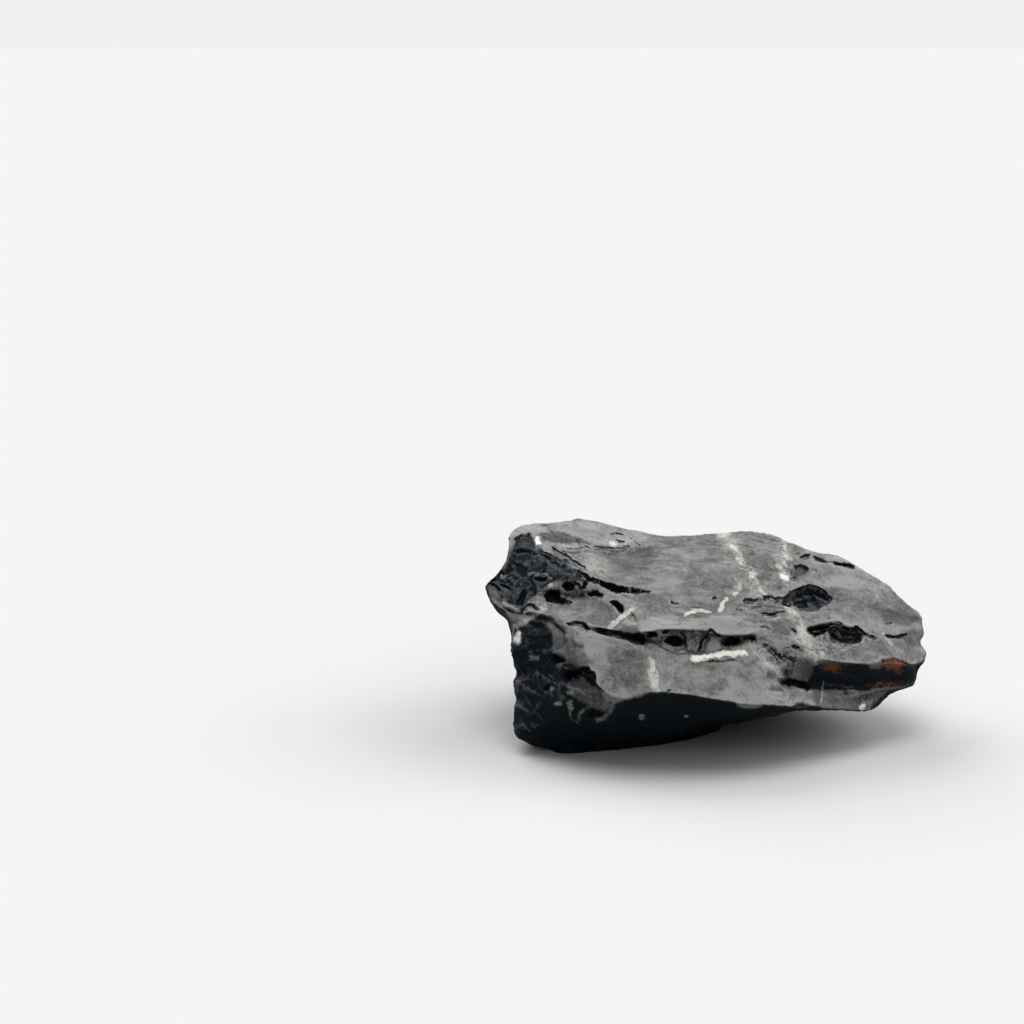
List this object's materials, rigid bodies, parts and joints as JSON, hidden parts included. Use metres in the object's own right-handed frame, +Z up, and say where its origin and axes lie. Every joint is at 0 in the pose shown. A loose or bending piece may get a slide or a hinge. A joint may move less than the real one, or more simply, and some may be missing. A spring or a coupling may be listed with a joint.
{
  "type": "raw shungite rock",
  "caption": "Raw lump of black shungite with a gently sloping upper face, a long overhanging ledge across the front and thin pale veins, lying on a small flat spot.",
  "frame": {"origin": "middle of the underside of the rock's box, on the surface that it rests on", "axes": "+X along the length, +Y from the ledged front to the back, +Z up"},
  "size_m": [0.0628, 0.0426, 0.0266],
  "materials": {
    "shungite": "fine-grained black carbon rock, dull to semi-matt with a soft graphite sheen at a low angle, thin off-white veins and a little rust"
  },
  "bodies": {
    "root": {"rock": "shungite"}
  },
  "joints": []
}
